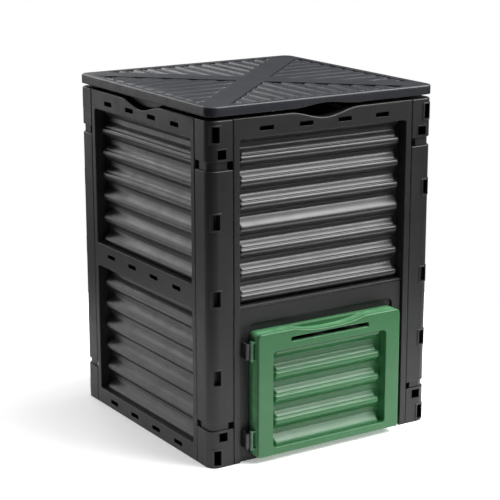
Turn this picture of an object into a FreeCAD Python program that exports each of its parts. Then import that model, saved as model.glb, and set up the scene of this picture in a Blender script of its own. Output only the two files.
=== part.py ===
"""Square plug-together compost bin: four panelled walls between four corner posts, a hinged lid that
collects rain, and a hinged emptying door low in the front wall.  Millimetres, +Z up, the front faces -Y.
The bin is drawn about the centre of its 606 mm square body, and every piece is then moved by Y_SHIFT so
that the origin is the middle of the base of the whole object's box."""
import FreeCAD, Part
import math
import os

V = FreeCAD.Vector

# ---------------------------------------------------------------- driving dimensions
HALF = 303.0            # half the square body, over the flat faces
HEIGHT = 787.0          # top of walls and corner pieces
POST_W = 61.5           # width of a corner post on each face
CORNER_R = 24.0         # outer corner radius of posts and lid
SEAM = 0.3              # half of the joint line between post and wall
SKIN = 2.6              # moulded skin thickness
TUBE_T = 4.0            # wall of the corner bracket sockets
POST_T = 3.0            # wall of the corner post tube
NECK_IN = 4.3           # how far the spigots of the post lie inside its outline
BRACKET_H = 87.0        # height of the bottom corner bracket
TOP_BRACKET_Z = 697.0   # underside of the top corner bracket
POST_Z0, POST_Z1 = 103.0, 677.0   # full section of the corner post
SPIGOT = 25.0           # spigot length inside a bracket

FRAME_D = 30.0          # depth of a wall frame
RAIL_Z = 742.0          # lower edge of the top rail
WIN_U = 225.0           # half width of the window in a wall frame
SIDE_MID = (357.0, 413.0)   # middle rail of side and rear walls
SIDE_BOT = 40.0         # top of the bottom rail of side and rear walls
FRONT_LOW = 365.0       # top of the lower, flat part of the front wall
SLOT_U = (-156.0, -52.0, 52.0, 156.0)   # vent slots along a rail
SLOT_W, SLOT_H = 36.0, 10.0
SLOT_Z, SLOT_MID, SLOT_BOT = 760.5, 388.5, 18.5
SCOOP_HALF, SCOOP_D = 95.0, 17.0        # hand scoop in each top rail

PANEL_T = 2.4           # ribbed infill sheet
CREST, VALLEY = 13.0, 30.0              # depth of rib crest and sheet behind the wall face
RIB_HALF = 20.0         # half height of one rib
FRONT_RIBS = (698.0, 52.07, 8)      # centre of the first whole rib, pitch, number; a part rib lies above it
SIDE_UP_RIBS = (693.5, 53.7, 6)
SIDE_LO_RIBS = (315.5, 53.9, 6)
DOOR_RIBS = (203.0, 56.0, 4)
RIB_END = 9.0           # ribs stop short of the window side by this

CLIP_Z = (756.5, 565.0, 387.0, 209.0, 24.0)   # heights of the snap tongues
CLIP_H = 34.5           # height of a clip window
CLIP_U = (276.5, 293.0) # clip window across the post face, into the rounded corner
RIM = 1.8               # how far the rim of a clip window stands proud

SURR_IN = 7.0           # door surround lies this far behind the wall face
SURR_U = 222.5          # half width of the door surround
DOOR_U = 195.5          # half width of the door
DOOR_Z = (14.0, 304.0)  # door height range
DOOR_FRONT = 333.0      # door front face from the body centre
DOOR_BACK = 292.0       # rear edge of the door flange
DOOR_WIN_U = 156.5
DOOR_WIN_Z = (31.5, 259.0)
DOOR_R = 11.0
OPEN_U = 198.5          # opening of the surround
OPEN_Z = (9.0, 321.0)
STOP_U, STOP_Z = 182.0, (24.0, 295.0)         # inner opening inside the door stop rim

DH_X, DH_Y = -204.0, -316.0             # door hinge axis, parallel to Z
DH_Z = ((36.5, 72.5), (246.5, 282.5))   # heights of the two door hinge clips
BAR_R = 4.0             # hinge bar radius
JAW_R = 4.08            # bore of a snap jaw
JAW_O = 7.6             # outside of a snap jaw

LID_HALF = 304.0
LID_Z0, LID_Z1 = 795.5, 817.0           # skirt bottom and top face of the lid
LID_FIELD = 812.4       # bottom of the valleys in the four sectors
LID_UNDER = 810.0       # underside of the lid plate
LID_BORDER = 16.0       # flat border around the sectors
BAND_HALF = 31.0        # half width of the two diagonal bands
LID_RIB_F, LID_RIB_S = 39.0, 46.5       # rib pitch, front/rear and side sectors
LID_NOTCH = (85.0, 7.0) # finger notch in the front skirt
LID_TAB = (70.0, 11.0)  # half-moon tab under each side skirt
LH_Y, LH_Z = 316.0, 800.5               # lid hinge axis, parallel to X
LH_X = (-170.0, 170.0)  # centres of the two lid hinge clips
LH_LEN = 36.0

Y_SHIFT = -((LH_Y + JAW_O) - DOOR_FRONT) / 2.0

os.makedirs("parts", exist_ok=True)
SHAPES = {}


def add(name, shape):
    s = shape.copy()
    s.translate(V(0, Y_SHIFT, 0))
    solids = s.Solids
    if len(solids) == 1:
        s = solids[0]
    SHAPES[name] = s
    if not s.isValid():
        print("INVALID", name)
    s.exportStep("parts/%s.step" % name)
    b = s.BoundBox
    print("%-34s solids %d vol %9.0f  x %.1f %.1f  y %.1f %.1f  z %.1f %.1f" % (
        name, len(solids), s.Volume, b.XMin, b.XMax, b.YMin, b.YMax, b.ZMin, b.ZMax))


def box(x0, x1, y0, y1, z0, z1):
    return Part.makeBox(x1 - x0, y1 - y0, z1 - z0, V(x0, y0, z0))


def cyl(r, h, p, d=V(0, 0, 1)):
    return Part.makeCylinder(r, h, p, d)


def rwire(pts, radii):
    """closed wire through pts (x, y) with a tangent arc of the given radius at each corner"""
    n = len(pts)
    P = [V(p[0], p[1], 0) for p in pts]
    segs = []
    for i in range(n):
        a, b, c = P[i - 1], P[i], P[(i + 1) % n]
        r = radii[i]
        if r <= 0:
            segs.append((b, None, b))
            continue
        u = (a - b); u.normalize()
        v = (c - b); v.normalize()
        ang = u.getAngle(v)
        t = r / math.tan(ang / 2)
        s, e = b + u * t, b + v * t
        m = u + v; m.normalize()
        centre = b + m * (r / math.sin(ang / 2))
        segs.append((s, centre - m * r, e))
    edges = []
    for i in range(n):
        s, mid, e = segs[i]
        if mid is not None:
            edges.append(Part.Arc(s, mid, e).toShape())
        nx = segs[(i + 1) % n][0]
        if (nx - e).Length > 1e-6:
            edges.append(Part.LineSegment(e, nx).toShape())
    return Part.Wire(edges)


def rprism(pts, radii, z0, z1):
    f = Part.Face(rwire(pts, radii))
    f.translate(V(0, 0, z0))
    return f.extrude(V(0, 0, z1 - z0))


def rect_y(u0, u1, z0, z1, r, y0, y1):
    """rounded rectangle in the XZ plane, run from y0 to y1"""
    f = Part.Face(rwire([(u0, z0), (u1, z0), (u1, z1), (u0, z1)], [r] * 4))
    f.rotate(V(0, 0, 0), V(1, 0, 0), 90)
    f.translate(V(0, y0, 0))
    return f.extrude(V(0, y1 - y0, 0))


def spin(shape, deg):
    s = shape.copy()
    s.rotate(V(0, 0, 0), V(0, 0, 1), deg)
    return s


def fuse(shapes):
    s = shapes[0].multiFuse(shapes[1:]) if len(shapes) > 1 else shapes[0]
    return s.removeSplitter()


def bump_z(half, depth, n=24):
    """smooth cosine bell, as (u, drop) points"""
    return [(-half + 2 * half * i / n, depth * 0.5 * (1 + math.cos(math.pi * (-1 + 2 * i / n)))) for i in range(n + 1)]


def bell_cut(half, depth, z_edge, up, y0, y1):
    """solid under or over a bell curve: up=+1 cuts upwards from z_edge, -1 cuts downwards"""
    far = -up * 6.0
    pts = [V(u, 0, z_edge + up * d) for u, d in bump_z(half, depth)]
    pts = pts + [V(half, 0, z_edge + far), V(-half, 0, z_edge + far), pts[0]]
    f = Part.Face(Part.makePolygon(pts))
    f.translate(V(0, y0, 0))
    return f.extrude(V(0, y1 - y0, 0))


# ---------------------------------------------------------------- corner post, drawn at the front left corner
A0, A1 = -HALF, -HALF + POST_W - SEAM


def tube_profile(off, z0, z1):
    lo, hi = A0 + off, A1 - off
    return rprism([(lo, lo), (hi, lo), (hi, hi), (lo, hi)],
                  [max(CORNER_R - off, 3.0), 2.0, 2.0, 2.0], z0, z1)


def rim(zc):
    """raised rim of the clip window in the front face at height zc"""
    z0, z1 = zc - CLIP_H / 2 - 3.5, zc + CLIP_H / 2 + 3.5
    z0, z1 = max(z0, 0.0), min(z1, HEIGHT)
    return box(-CLIP_U[1] - 4.5, -CLIP_U[0] + 4.0, -HALF - RIM, -HALF + 11.0, z0, z1)


def clip_windows(zc):
    z0, z1 = zc - CLIP_H / 2, zc + CLIP_H / 2
    return [box(-CLIP_U[1], -CLIP_U[0], -HALF - 5, -HALF + 12, z0, z1),
            # slots for the snap tongues in the two sides that face the walls
            box(A1 - 8, A1 + 1, -HALF + 4.2, -HALF + 8.2, zc - 15.6, zc + 15.6),
            box(-HALF + 4.2, -HALF + 8.2, A1 - 8, A1 + 1, zc - 15.6, zc + 15.6)]


def bracket(z0, z1, zc, square, cap_top):
    s = tube_profile(0, z0, z1)
    s = s.fuse(rim(zc))
    cav0 = z0 - 1
    cav1 = z1 - SKIN if cap_top else z1 + 1
    s = s.cut(tube_profile(TUBE_T, cav0, cav1))
    for c in clip_windows(zc):
        s = s.cut(c)
    q0, q1 = square
    s = s.cut(box(-281.5, -259.5, -HALF - 5, -HALF + TUBE_T + 0.05, q0, q1))
    return s.removeSplitter()


def post():
    s = tube_profile(0, POST_Z0, POST_Z1).cut(tube_profile(POST_T, POST_Z0 - 1, POST_Z1 + 1))
    for zc in CLIP_Z[1:4]:
        s = s.fuse(rim(zc).cut(tube_profile(POST_T, -1, HEIGHT + 1)))
    for (z0, z1, k0, k1) in ((BRACKET_H - SPIGOT, POST_Z0 + 4, POST_Z0, POST_Z0 + 4),
                             (POST_Z1 - 4, TOP_BRACKET_Z + SPIGOT, POST_Z1 - 4, POST_Z1)):
        sp = tube_profile(NECK_IN, z0, z1).cut(tube_profile(NECK_IN + 2.6, z0 - 1, z1 + 1))
        ring = tube_profile(POST_T - 1, k0, k1).cut(tube_profile(NECK_IN + 2.6, k0 - 1, k1 + 1))
        s = s.fuse(sp).fuse(ring)
    for zc in CLIP_Z[1:4]:
        for c in clip_windows(zc):
            s = s.cut(c)
    # square gaps at both ends of each neck, next to the walls
    for (z0, z1) in ((BRACKET_H + 0.5, POST_Z0 - 0.5), (POST_Z1 + 0.5, TOP_BRACKET_Z - 0.5)):
        s = s.cut(box(-254.8, -247.4, -HALF - 1, -HALF + 12, z0, z1))
        s = s.cut(box(-HALF - 1, -HALF + 12, -254.8, -247.4, z0, z1))
    return s.removeSplitter()


# the windows lie in the front and rear faces, so the posts are mirror images of each other
POSTS = (("front_left", ()), ("front_right", (V(1, 0, 0),)), ("rear_left", (V(0, 1, 0),)),
         ("rear_right", (V(1, 0, 0), V(0, 1, 0))))


def mirrored(shape, normals):
    for n in normals:
        shape = shape.mirror(V(0, 0, 0), n)
    return shape


main_post = post()
top_br = bracket(TOP_BRACKET_Z, HEIGHT, CLIP_Z[0], (702.0, 723.0), True)
bot_br = bracket(0.0, BRACKET_H, CLIP_Z[4], (61.0, 82.0), False)
for nm, normals in POSTS:
    add("corner_post_" + nm, mirrored(main_post, normals))
    add("top_corner_bracket_" + nm, mirrored(top_br, normals))
    add("bottom_corner_bracket_" + nm, mirrored(bot_br, normals))

# ---------------------------------------------------------------- wall frames, drawn at the front
FU = HALF - POST_W - SEAM        # half width of a wall frame


def tongues(barbed):
    """snap tongues: long with a barb where the post has windows, short and plain at its closed faces"""
    end = CLIP_U[1] - 0.6 if barbed else 262.0
    out = []
    for zc in CLIP_Z:
        z0, z1 = zc - 15.0, zc + 15.0
        for s in (-1, 1):
            u = sorted((s * (FU - 6), s * end))
            t = box(u[0], u[1], -HALF + 4.6, -HALF + 7.8, z0, z1)
            out.append(t)
            if barbed:
                b = sorted((s * (CLIP_U[0] + 1.0), s * 285.0))
                out.append(box(b[0], b[1], -HALF + 1.2, -HALF + 5.0, z0, z1))
    return out


def wall_frame(windows, slots, pockets):
    """windows: (z0, z1); slots: heights of the slot rows; pockets: rear hollows (u0, u1, z0, z1)"""
    s = box(-FU, FU, -HALF, -HALF + FRAME_D, 0, HEIGHT)
    for z0, z1 in windows:
        s = s.cut(rect_y(-WIN_U, WIN_U, z0, z1, 5.0, -HALF - 1, -HALF + FRAME_D + 1))
    for u0, u1, z0, z1 in pockets:
        s = s.cut(box(u0, u1, -HALF + SKIN, -HALF + FRAME_D + 1, z0, z1))
    for z in slots:
        for u in SLOT_U:
            s = s.cut(rect_y(u - SLOT_W / 2, u + SLOT_W / 2, z - SLOT_H / 2, z + SLOT_H / 2, 1.0,
                             -HALF - 1, -HALF + SKIN + 1))
    s = s.cut(bell_cut(SCOOP_HALF, SCOOP_D, HEIGHT, -1, -HALF - 1, -HALF + FRAME_D + 1))
    return s


# hollows behind the top rail, leaving ribs between the vents and clear of the hand scoop
RIBS_U = (-FU + SKIN, -104.0 - 1.5, -104.0 + 1.5, -1.5, 1.5, 104.0 - 1.5, 104.0 + 1.5, FU - SKIN)


def rail_pockets(z0, z1, edge=FU):
    out = []
    for a in range(0, 8, 2):
        u0, u1 = RIBS_U[a], RIBS_U[a + 1]
        top = z1
        if abs(u0) < SCOOP_HALF + 10 and abs(u1) < SCOOP_HALF + 10 and z1 > HEIGHT - 10:
            top = HEIGHT - SCOOP_D - SKIN
        out.append((u0, u1, z0, top))
    return out


stile_p = lambda z0, z1: [(-FU + SKIN, -WIN_U - SKIN, z0, z1), (WIN_U + SKIN, FU - SKIN, z0, z1)]
side_pockets = (rail_pockets(RAIL_Z + SKIN, HEIGHT - SKIN) + rail_pockets(SIDE_MID[0] + SKIN, SIDE_MID[1] - SKIN)
                + rail_pockets(SKIN, SIDE_BOT - SKIN)
                + stile_p(SIDE_BOT, SIDE_MID[0]) + stile_p(SIDE_MID[1], RAIL_Z))
side_frame = wall_frame([(SIDE_BOT, SIDE_MID[0]), (SIDE_MID[1], RAIL_Z)],
                        (SLOT_Z, SLOT_MID, SLOT_BOT), side_pockets)
rear_frame = fuse([side_frame] + tongues(True))
side_frame = fuse([side_frame] + tongues(False))

front_pockets = (rail_pockets(RAIL_Z + SKIN, HEIGHT - SKIN) + stile_p(SKIN, RAIL_Z))
front_frame = wall_frame([(-2.0, FRONT_LOW + 3.0), (FRONT_LOW, RAIL_Z)], (SLOT_Z,), front_pockets)
# the cross rail between the upper window and the door surround
rail = box(-WIN_U, WIN_U, -HALF + SURR_IN, -HALF + FRAME_D, FRONT_LOW - 3.0, FRONT_LOW)
# the surround is let in behind the stiles; square up the bottom corners of the lower opening
front_frame = fuse([front_frame.cut(box(-WIN_U, WIN_U, -HALF - 1, -HALF + FRAME_D + 1, -1, 20.0)), rail] + tongues(True))


# ---------------------------------------------------------------- ribbed infill panels, drawn at the front
def rib_points(zc, half, crest, valley, n=12):
    """outline of one rib as (depth, z), from below to above"""
    return [(valley - (valley - crest) * math.sqrt(max(0.0, 1 - (abs(t) ** 2.4))), zc + half * t)
            for t in [-1 + 2.0 * i / n for i in range(n + 1)]]


def rib_panel(u_half, z0, z1, ribs, rib_u, plane, crest, valley, lap=7.0, lap_z=None):
    """sheet with hollow closed-end ribs; plane is the y of the face that the depths are counted from"""
    lz = lap if lap_z is None else lap_z
    s = box(-u_half - lap, u_half + lap, plane + valley, plane + valley + PANEL_T, z0 - lz, z1 + lz)
    half = RIB_HALF
    window = box(-u_half - 30, u_half + 30, plane - 50, plane + 80, z0 + 0.2, z1 - 0.2)
    adds, cuts = [], []
    for k in range(-1, ribs[2]):
        zc = ribs[0] - ribs[1] * k
        if zc - half > z1 - 2 or zc + half < z0 + 2:
            continue
        pts = [V(0, plane + d, z) for d, z in rib_points(zc, half, crest, valley + 0.5)]
        inn = [V(0, plane + d, z) for d, z in rib_points(zc, half - PANEL_T, crest + PANEL_T, valley + 0.5)]
        for P, u, bag in ((pts, rib_u, adds), (inn, rib_u - PANEL_T, cuts)):
            c = Part.BSplineCurve()
            c.interpolate(P)
            back = V(0, (PANEL_T + 1.0) if bag is cuts else 0.6, 0)
            e = [c.toShape(), Part.LineSegment(P[-1], P[-1] + back).toShape(),
                 Part.LineSegment(P[-1] + back, P[0] + back).toShape(), Part.LineSegment(P[0] + back, P[0]).toShape()]
            f = Part.Face(Part.Wire(e))
            f.translate(V(-u, 0, 0))
            bag.append(f.extrude(V(2 * u, 0, 0)).common(window))
    s = s.multiFuse(adds)
    for c in cuts:
        s = s.cut(c)
    return s.removeSplitter()


RIB_U = WIN_U - RIB_END
front_panel = rib_panel(WIN_U, FRONT_LOW, RAIL_Z, FRONT_RIBS, RIB_U, -HALF, CREST, VALLEY, lap_z=0.0)
front_panel = front_panel.fuse(box(-WIN_U - 7, WIN_U + 7, -HALF + VALLEY, -HALF + VALLEY + PANEL_T,
                                   RAIL_Z - 1, RAIL_Z + 7)).removeSplitter()
side_up = rib_panel(WIN_U, SIDE_MID[1], RAIL_Z, SIDE_UP_RIBS, RIB_U, -HALF, CREST, VALLEY)
side_lo = rib_panel(WIN_U, SIDE_BOT, SIDE_MID[0], SIDE_LO_RIBS, RIB_U, -HALF, CREST, VALLEY)

add("front_wall_frame", front_frame)
add("front_upper_rib_panel", front_panel)
for nm, deg in (("left", -90), ("right", 90), ("rear", 180)):
    add(nm + "_wall_frame", spin(rear_frame if nm == "rear" else side_frame, deg))
    add(nm + "_upper_rib_panel", spin(side_up, deg))
    add(nm + "_lower_rib_panel", spin(side_lo, deg))

# ---------------------------------------------------------------- door surround with stop rim
Y_S = -HALF + SURR_IN
surround = box(-SURR_U, SURR_U, Y_S, Y_S + SKIN, 0, FRONT_LOW - 3.2)
surround = surround.fuse(rect_y(-OPEN_U - 3, OPEN_U + 3, OPEN_Z[0] - 3, OPEN_Z[1] + 3, 14.0, Y_S, Y_S + 8.0))
surround = surround.cut(rect_y(-OPEN_U, OPEN_U, OPEN_Z[0], OPEN_Z[1], 12.0, Y_S - 1, Y_S + 5.0))
surround = surround.cut(rect_y(-STOP_U, STOP_U, STOP_Z[0], STOP_Z[1], 8.0, Y_S - 1, Y_S + 20.0))
for z0, z1 in DH_Z:
    surround = surround.cut(box(DH_X - 14.0, DH_X - 5.0, Y_S - 1, Y_S + SKIN + 1, z0 - 0.3, z1 + 0.3))
# side flanges that lap the stiles of the front frame from inside
for s_ in (-1, 1):
    u = sorted((s_ * SURR_U, s_ * (SURR_U - SKIN)))
    surround = surround.fuse(box(u[0], u[1], Y_S, -HALF + FRAME_D, 0, FRONT_LOW - 3.2))
surround = surround.removeSplitter()
add("door_surround", surround)


# ---------------------------------------------------------------- snap hinge clips of the door
def jaw(a0, a1, z0, z1):
    """C-shaped jaw about the local Z axis, open where the angle lies outside a0..a1 degrees"""
    ring = cyl(JAW_O, z1 - z0, V(0, 0, z0)).cut(cyl(JAW_R, z1 - z0 + 2, V(0, 0, z0 - 1)))
    pts = [V(0, 0, 0)] + [V(14 * math.cos(math.radians(a)), 14 * math.sin(math.radians(a)), 0)
                          for a in [a1 + (a0 + 360 - a1) * i / 8.0 for i in range(9)]] + [V(0, 0, 0)]
    wedge = Part.Face(Part.makePolygon(pts))
    wedge.translate(V(0, 0, z0 - 1))
    return ring.cut(wedge.extrude(V(0, 0, z1 - z0 + 2)))


def door_clip(z0, z1):
    j = jaw(25, 222, z0, z1)
    j.translate(V(DH_X, DH_Y, 0))
    nose = cyl(4.5, z1 - z0, V(DH_X - 11.0, DH_Y + 1.0, z0)).cut(cyl(JAW_R, z1 - z0, V(DH_X, DH_Y, z0)))
    web = box(DH_X - 13.0, DH_X - 9.0, DH_Y + 1.0, Y_S + SKIN + 3.0, z0, z1)
    link = box(DH_X - 11.0, DH_X - 5.0, DH_Y - 1.0, DH_Y + 5.0, z0, z1).cut(cyl(JAW_R, z1 - z0, V(DH_X, DH_Y, z0)))
    foot = box(DH_X - 15.5, DH_X - 3.5, Y_S + SKIN + 0.1, Y_S + SKIN + 3.0, z0, z1)
    foot = foot.cut(box(-OPEN_U - 3.2, 0, -400, 0, z0 - 1, z1 + 1))
    return fuse([j, nose, web, link, foot])


add("door_hinge_clip_lower", door_clip(*DH_Z[0]))
add("door_hinge_clip_upper", door_clip(*DH_Z[1]))

# ---------------------------------------------------------------- door
yf, yb = -DOOR_FRONT, -DOOR_BACK
door = rect_y(-DOOR_U, DOOR_U, DOOR_Z[0], DOOR_Z[1], DOOR_R, yf, yb)
door = door.cut(rect_y(-DOOR_U + SKIN, DOOR_U - SKIN, DOOR_Z[0] + SKIN, DOOR_Z[1] - SKIN, DOOR_R - SKIN, yf + SKIN, yb + 1))
win = rect_y(-DOOR_WIN_U - SKIN, DOOR_WIN_U + SKIN, DOOR_WIN_Z[0] - SKIN, DOOR_WIN_Z[1] + SKIN, 11.0, yf, yf + 27.0)
door = door.fuse(win).cut(rect_y(-DOOR_WIN_U, DOOR_WIN_U, DOOR_WIN_Z[0], DOOR_WIN_Z[1], 8.0, yf - 1, yf + 28.0))
# grip slot under the top edge, with a hollow lip behind it
slot = rect_y(-110.0, 105.0, 272.0, 282.0, 4.5, yf - 1, yf + SKIN + 1)
door = door.cut(slot)
lip = rect_y(-113.0, 108.0, 269.0, 272.0, 1.4, yf + 0.5, yf + 14.0)
door = door.fuse(lip)
# shallow dip in the front of the top edge
door = door.cut(bell_cut(88.0, 6.0, DOOR_Z[1], -1, yf - 1, yf + 9.0).translated(V(-5, 0, 0)))
door = door.fuse(rect_y(-100.0, 90.0, 292.0, 298.0, 1.0, yf + 3.0, yf + 14.0))
door = door.fuse(box(-96.0, 86.0, yf + 9.0, yf + 12.0, 297.0, DOOR_Z[1] - 0.5))
# hinge bars held by two ears each
for z0, z1 in DH_Z:
    door = door.fuse(cyl(BAR_R, z1 - z0 + 11.0, V(DH_X, DH_Y, z0 - 5.5)))
    for e0, e1 in ((z0 - 5.5, z0 - 0.4), (z1 + 0.4, z1 + 5.5)):
        door = door.fuse(cyl(BAR_R + 1.2, e1 - e0, V(DH_X, DH_Y, e0)))
        door = door.fuse(box(DH_X, -DOOR_U + 1.0, DH_Y - BAR_R - 1.2, DH_Y + BAR_R + 1.2, e0, e1))
door = door.removeSplitter()
add("door_shell", door)

door_panel = rib_panel(DOOR_WIN_U, DOOR_WIN_Z[0], DOOR_WIN_Z[1], DOOR_RIBS, DOOR_WIN_U - 8.0,
                       yf, 9.0, 27.0, lap=9.0, lap_z=7.0)
add("door_rib_panel", door_panel)

# the two snap catches inside the free edge of the door
catch = []
for z in (66.0, 226.0):
    c = box(176.0, DOOR_U - SKIN - 0.15, yf + SKIN + 0.1, yb - 2.0, z, z + 26.0)
    c = c.cut(box(179.0, DOOR_U - SKIN - 3.0, yf + SKIN + 2.6, yb, z - 1, z + 27.0))
    catch.append(c)
add("door_snap_catches", Part.makeCompound(catch))


# ---------------------------------------------------------------- lid hinge clips on the rear wall
def lid_clip(xc):
    x0, x1 = xc - LH_LEN / 2, xc + LH_LEN / 2
    j = jaw(155, 385, 0, LH_LEN)
    # local X -> Y, local Y -> Z, local Z -> X
    j = j.transformed(FreeCAD.Matrix(0, 0, 1, x0, 1, 0, 0, LH_Y, 0, 1, 0, LH_Z, 0, 0, 0, 1))
    neck = box(x0, x1, LH_Y - 5.0, LH_Y + 3.0, LH_Z - 12.5, LH_Z - 5.5).cut(cyl(JAW_R, LH_LEN, V(x0, LH_Y, LH_Z), V(1, 0, 0)))
    shelf = box(x0, x1, HALF + 0.05, LH_Y + 3.0, LH_Z - 15.5, LH_Z - 11.5)
    plate = box(x0, x1, HALF + 0.05, HALF + 4.0, 744.0, LH_Z - 11.5)
    return fuse([j, neck, shelf, plate])


add("lid_hinge_clip_left", lid_clip(LH_X[0]))
add("lid_hinge_clip_right", lid_clip(LH_X[1]))

# ---------------------------------------------------------------- lid
L = LID_HALF


def lid_profile(off, z0, z1):
    a = L - off
    return rprism([(-a, -a), (a, -a), (a, a), (-a, a)], [max(CORNER_R - off, 4.0)] * 4, z0, z1)


lid = lid_profile(0, LID_Z0, LID_Z1)
lid = lid.makeFillet(4.0, [e for e in lid.Edges if abs(e.BoundBox.ZMin - LID_Z1) < 1e-3 and abs(e.BoundBox.ZMax - LID_Z1) < 1e-3])
lid = lid.cut(lid_profile(SKIN, LID_Z0 - 1, LID_UNDER))
S = L - LID_BORDER
B = BAND_HALF * math.sqrt(2)


def sector():
    """triangular pocket facing the front, between the diagonal bands"""
    return rprism([(-(S - B), -S), (S - B, -S), (0, -B)], [3.0, 3.0, 3.0], LID_FIELD, LID_Z1 + 1)


def lid_ribs(pitch, n):
    out = []
    sec = rprism([(-(S - B) + 1, -S - 0.5), (S - B - 1, -S - 0.5), (0, -B + 1)], [2.0] * 3, LID_FIELD - 0.5, LID_Z1)
    for k in range(-n, n + 1):
        u = k * pitch
        if S - B - abs(u) < 16:
            continue
        r = Part.Face(Part.makePolygon([V(u - 13, -S - 1, LID_FIELD - 0.4), V(u - 7.5, -S - 1, LID_Z1 - 1.0),
                                        V(u + 7.5, -S - 1, LID_Z1 - 1.0), V(u + 13, -S - 1, LID_FIELD - 0.4),
                                        V(u - 13, -S - 1, LID_FIELD - 0.4)]))
        out.append(r.extrude(V(0, S + 2, 0)).common(sec))
    return out


for deg, pitch, n in ((0, LID_RIB_F, 6), (90, LID_RIB_S, 5), (180, LID_RIB_F, 6), (270, LID_RIB_S, 5)):
    lid = lid.cut(spin(sector(), deg))
    for r in lid_ribs(pitch, n):
        lid = lid.fuse(spin(r, deg))
# finger notch in the front skirt and half-moon tabs under the side skirts
lid = lid.cut(bell_cut(LID_NOTCH[0], LID_NOTCH[1], LID_Z0, 1, -L - 1, -L + SKIN + 0.5))
for deg in (90, 270):
    hw, dp = LID_TAB
    R = (hw * hw + dp * dp) / (2 * dp)
    t = cyl(R, SKIN, V(0, -L, LID_Z0 - dp + R), V(0, 1, 0)).common(box(-hw, hw, -L - 1, -L + SKIN + 1, LID_Z0 - dp - 1, LID_Z0 + 1))
    t.translate(V(0, 3.4, 0))
    w = box(-hw, hw, -L + 1, -L + SKIN + 3.4, LID_Z0, LID_Z0 + 4)
    lid = lid.fuse(spin(t, deg)).fuse(spin(w, deg))
# ears and bars of the lid hinge
for xc in LH_X:
    x0, x1 = xc - LH_LEN / 2, xc + LH_LEN / 2
    lid = lid.fuse(cyl(BAR_R, LH_LEN + 12.0, V(x0 - 6.0, LH_Y, LH_Z), V(1, 0, 0)))
    for e0, e1 in ((x0 - 6.0, x0 - 0.4), (x1 + 0.4, x1 + 6.0)):
        lid = lid.fuse(cyl(BAR_R + 1.2, e1 - e0, V(e0, LH_Y, LH_Z), V(1, 0, 0)))
        lid = lid.fuse(box(e0, e1, L - 1.0, LH_Y, LH_Z - 4.5, LH_Z + 5.2))
lid = lid.removeSplitter()
add("lid_shell", lid)

# cross-shaped stiffener under the lid, below the diagonal bands
bars = []
for deg in (45, 135):
    bars.append(spin(box(-330.0, 330.0, -14.0, 14.0, LID_UNDER - 9.0, LID_UNDER - 0.1).cut(
        box(-327.0, 327.0, -11.0, 11.0, LID_UNDER - 10.0, LID_UNDER - 3.1)), deg))
cross = fuse(bars)
cross = cross.cut(box(-18, 18, -18, 18, LID_UNDER - 10.0, LID_UNDER - 3.1))
add("lid_cross_stiffener", cross)

print("nodes", len(SHAPES))
bb = FreeCAD.BoundBox()
for s in SHAPES.values():
    bb.add(s.BoundBox)
print("box x %.3f %.3f y %.3f %.3f z %.3f %.3f" % (bb.XMin, bb.XMax, bb.YMin, bb.YMax, bb.ZMin, bb.ZMax))
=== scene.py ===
import math
import bmesh
import bpy
import numpy as np
from mathutils import Matrix, Vector
from mathutils.geometry import delaunay_2d_cdt


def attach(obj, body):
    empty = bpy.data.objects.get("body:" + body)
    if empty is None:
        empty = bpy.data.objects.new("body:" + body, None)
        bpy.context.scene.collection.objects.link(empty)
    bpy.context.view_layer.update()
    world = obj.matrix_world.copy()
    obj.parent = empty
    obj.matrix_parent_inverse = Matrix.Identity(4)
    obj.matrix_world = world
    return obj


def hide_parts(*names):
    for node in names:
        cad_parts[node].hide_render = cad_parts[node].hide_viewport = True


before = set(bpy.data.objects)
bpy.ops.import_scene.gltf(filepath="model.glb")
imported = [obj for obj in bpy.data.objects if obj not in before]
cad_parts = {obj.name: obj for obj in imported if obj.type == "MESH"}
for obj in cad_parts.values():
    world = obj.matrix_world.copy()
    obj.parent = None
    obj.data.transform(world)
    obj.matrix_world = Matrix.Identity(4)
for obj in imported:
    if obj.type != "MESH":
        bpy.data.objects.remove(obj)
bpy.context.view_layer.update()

# All shapes are worked out in millimetres about the centre of the 606 mm body (front towards -Y),
# as the frame is drawn, and turned into metres in the row frame when a piece is finished.
HALF, HEIGHT, YS = 303.0, 787.0, 4.7
FU = 241.2
WIN_U = 225.0
RAIL_Z = 742.0
SIDE_MID = (357.0, 413.0)
SIDE_BOT = 40.0
FRONT_LOW = 365.0
SLOT_U = (-156.0, -52.0, 52.0, 156.0)
CLIP_Z = (756.5, 565.0, 387.0, 209.0, 24.0)
pi = math.pi


# ------------------------------------------------------------------ outlines
def arc(cx, cy, r, a0, a1, n):
    return [(cx + r * math.cos(math.radians(a0 + (a1 - a0) * i / n)),
             cy + r * math.sin(math.radians(a0 + (a1 - a0) * i / n))) for i in range(n + 1)]


def rrect(x0, x1, y0, y1, r, n=5):
    """rounded rectangle, anticlockwise; r is one radius or four, from the lower right corner on"""
    rs = [r] * 4 if not hasattr(r, "__len__") else list(r)
    ns = [n] * 4 if not hasattr(n, "__len__") else list(n)
    out = []
    for (cx, cy, a0), rr, nn in zip(((x1, y0, -90), (x1, y1, 0), (x0, y1, 90), (x0, y0, 180)), rs, ns):
        sx, sy = (-1 if cx == x1 else 1), (-1 if cy == y1 else 1)
        if rr <= 0:
            out.append((cx, cy))
        else:
            out += arc(cx + sx * rr, cy + sy * rr, rr, a0, a0 + 90, nn)
    return out


def hole(pts):
    return list(reversed(pts))


def split(pts, step):
    """adds points along the long edges of an outline"""
    out = []
    for i, a in enumerate(pts):
        b = pts[(i + 1) % len(pts)]
        n = max(1, int(math.hypot(b[0] - a[0], b[1] - a[1]) / step))
        out += [(a[0] + (b[0] - a[0]) * k / n, a[1] + (b[1] - a[1]) * k / n) for k in range(n)]
    return out


def bell(t, half, depth):
    return depth * 0.5 * (1 + math.cos(pi * t / half)) if abs(t) < half else 0.0


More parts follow.
